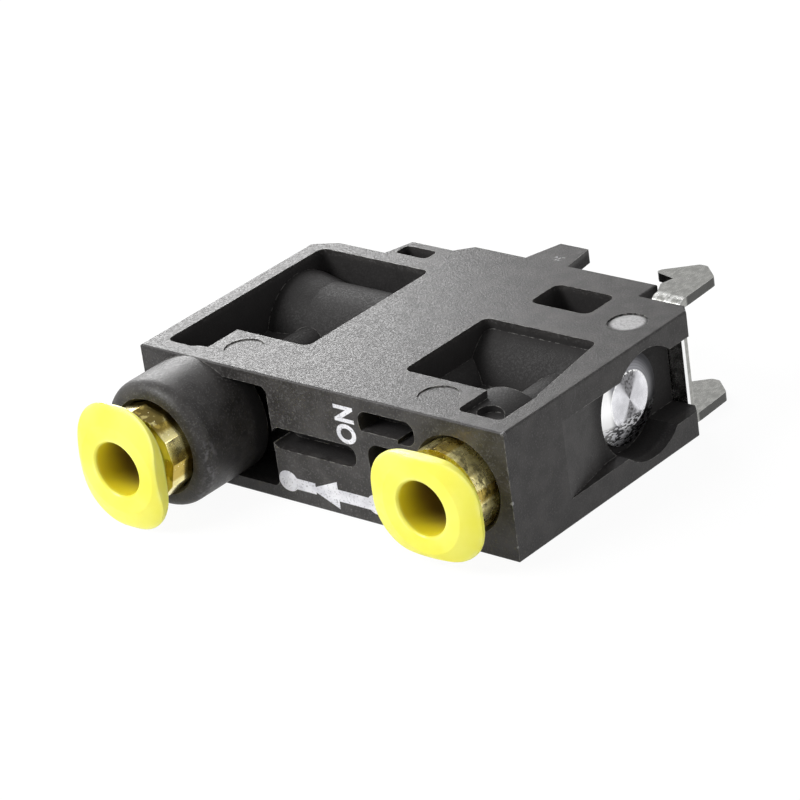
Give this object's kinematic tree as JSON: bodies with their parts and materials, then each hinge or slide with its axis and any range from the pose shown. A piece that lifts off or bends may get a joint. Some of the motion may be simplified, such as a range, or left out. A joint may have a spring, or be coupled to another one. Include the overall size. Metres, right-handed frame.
{
  "type": "plunger air valve",
  "caption": "Flat clip-on plunger air valve: moulded block, two push-in tube ports with release buttons, sprung plunger and spring-steel latch for a control head.",
  "frame": {"origin": "centre of the footprint's box, on the lower face of the block", "axes": "+X along the front from the long-boss port to the flush port, +Y from the tube ports to the control head, +Z through the 10 mm thickness"},
  "size_m": [0.0341, 0.0372, 0.01],
  "materials": {
    "body": "moulded glass-filled nylon, fine matt grain",
    "brass": "turned and knurled, bright",
    "spring_steel": "drawn spring wire and washer strip",
    "acetal": "natural acetal, satin",
    "rubber": "nitrile, satin",
    "button": "yellow acetal, slightly translucent",
    "plug": "fine turned",
    "stem": "turned",
    "latch": "rolled strip, satin"
  },
  "bodies": {
    "housing": {"valve_body": "body", "port_sleeve_left": "brass", "port_sleeve_right": "brass", "grab_ring_left": "spring_steel", "grab_ring_right": "spring_steel", "support_ring_left": "acetal", "support_ring_right": "acetal", "tube_seal_left": "rubber", "tube_seal_right": "rubber", "cross_bore_plug": "plug", "plug_seal": "rubber", "guide_bush": "brass", "stem_wiper": "rubber", "return_spring": "spring_steel", "latch_spring": "spring_steel"},
    "button_left": {"release_button_left": "button"},
    "button_right": {"release_button_right": "button"},
    "plunger": {"spool": "stem", "spool_seal_front": "rubber", "spool_seal_middle": "rubber", "spool_seal_rear": "rubber", "plunger_cap": "acetal"},
    "latch": {"latch_clip": "latch"}
  },
  "joints": [
    {"name": "release_left", "type": "slide", "parent": "housing", "child": "button_left", "axis": [0, 1, 0], "range_m": [0, 0.0007], "stiffness_N_per_m": 1200, "springref_m": -0.0005},
    {"name": "release_right", "type": "slide", "parent": "housing", "child": "button_right", "axis": [0, 1, 0], "range_m": [0, 0.0007], "stiffness_N_per_m": 1200, "springref_m": -0.0005},
    {"name": "plunger_press", "type": "slide", "parent": "housing", "child": "plunger", "axis": [0, -1, 0], "range_m": [0, 0.0035], "stiffness_N_per_m": 900, "springref_m": -0.003, "deforming": ["return_spring"]},
    {"name": "latch_slide", "type": "slide", "parent": "housing", "child": "latch", "axis": [1, 0, 0], "range_m": [0, 0.0015], "stiffness_N_per_m": 1500, "springref_m": -0.001, "deforming": ["latch_spring"]}
  ]
}
